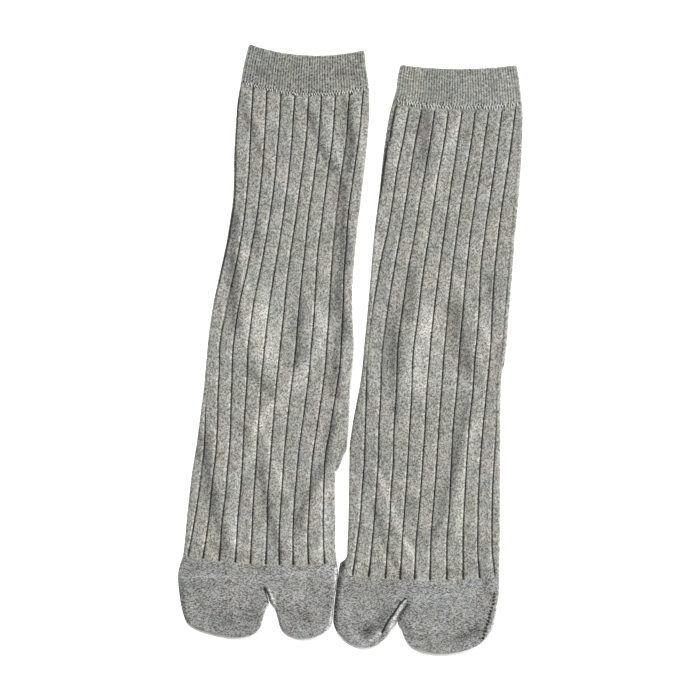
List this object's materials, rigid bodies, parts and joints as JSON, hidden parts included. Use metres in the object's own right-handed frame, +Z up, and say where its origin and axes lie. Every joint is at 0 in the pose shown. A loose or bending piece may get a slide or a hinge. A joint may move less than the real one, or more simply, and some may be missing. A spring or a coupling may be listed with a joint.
{
  "type": "pair of tabi socks",
  "caption": "Pair of split-toe ribbed knit socks laid flat side by side, with turned cuffs, heel pouches folded beneath and a separate lobe for the big toe.",
  "frame": {"origin": "on the floor under the middle of the pair's bounding box", "axes": "+Z up from the floor, +Y towards the cuffs, +X towards the left-foot sock"},
  "size_m": [0.2428, 0.4302, 0.0071],
  "materials": {
    "fine_rib_knit": "heather grey one-by-one rib knit, matte",
    "wide_rib_knit": "heather grey wide rib knit, matte",
    "heel_knit": "heather grey plain knit, matte",
    "toe_knit": "heather grey plain knit, matte"
  },
  "bodies": {
    "root": {"right_cuff": "fine_rib_knit", "right_leg_foot": "wide_rib_knit", "right_heel": "heel_knit", "right_toe": "toe_knit", "left_cuff": "fine_rib_knit", "left_leg_foot": "wide_rib_knit", "left_heel": "heel_knit", "left_toe": "toe_knit"}
  },
  "joints": []
}
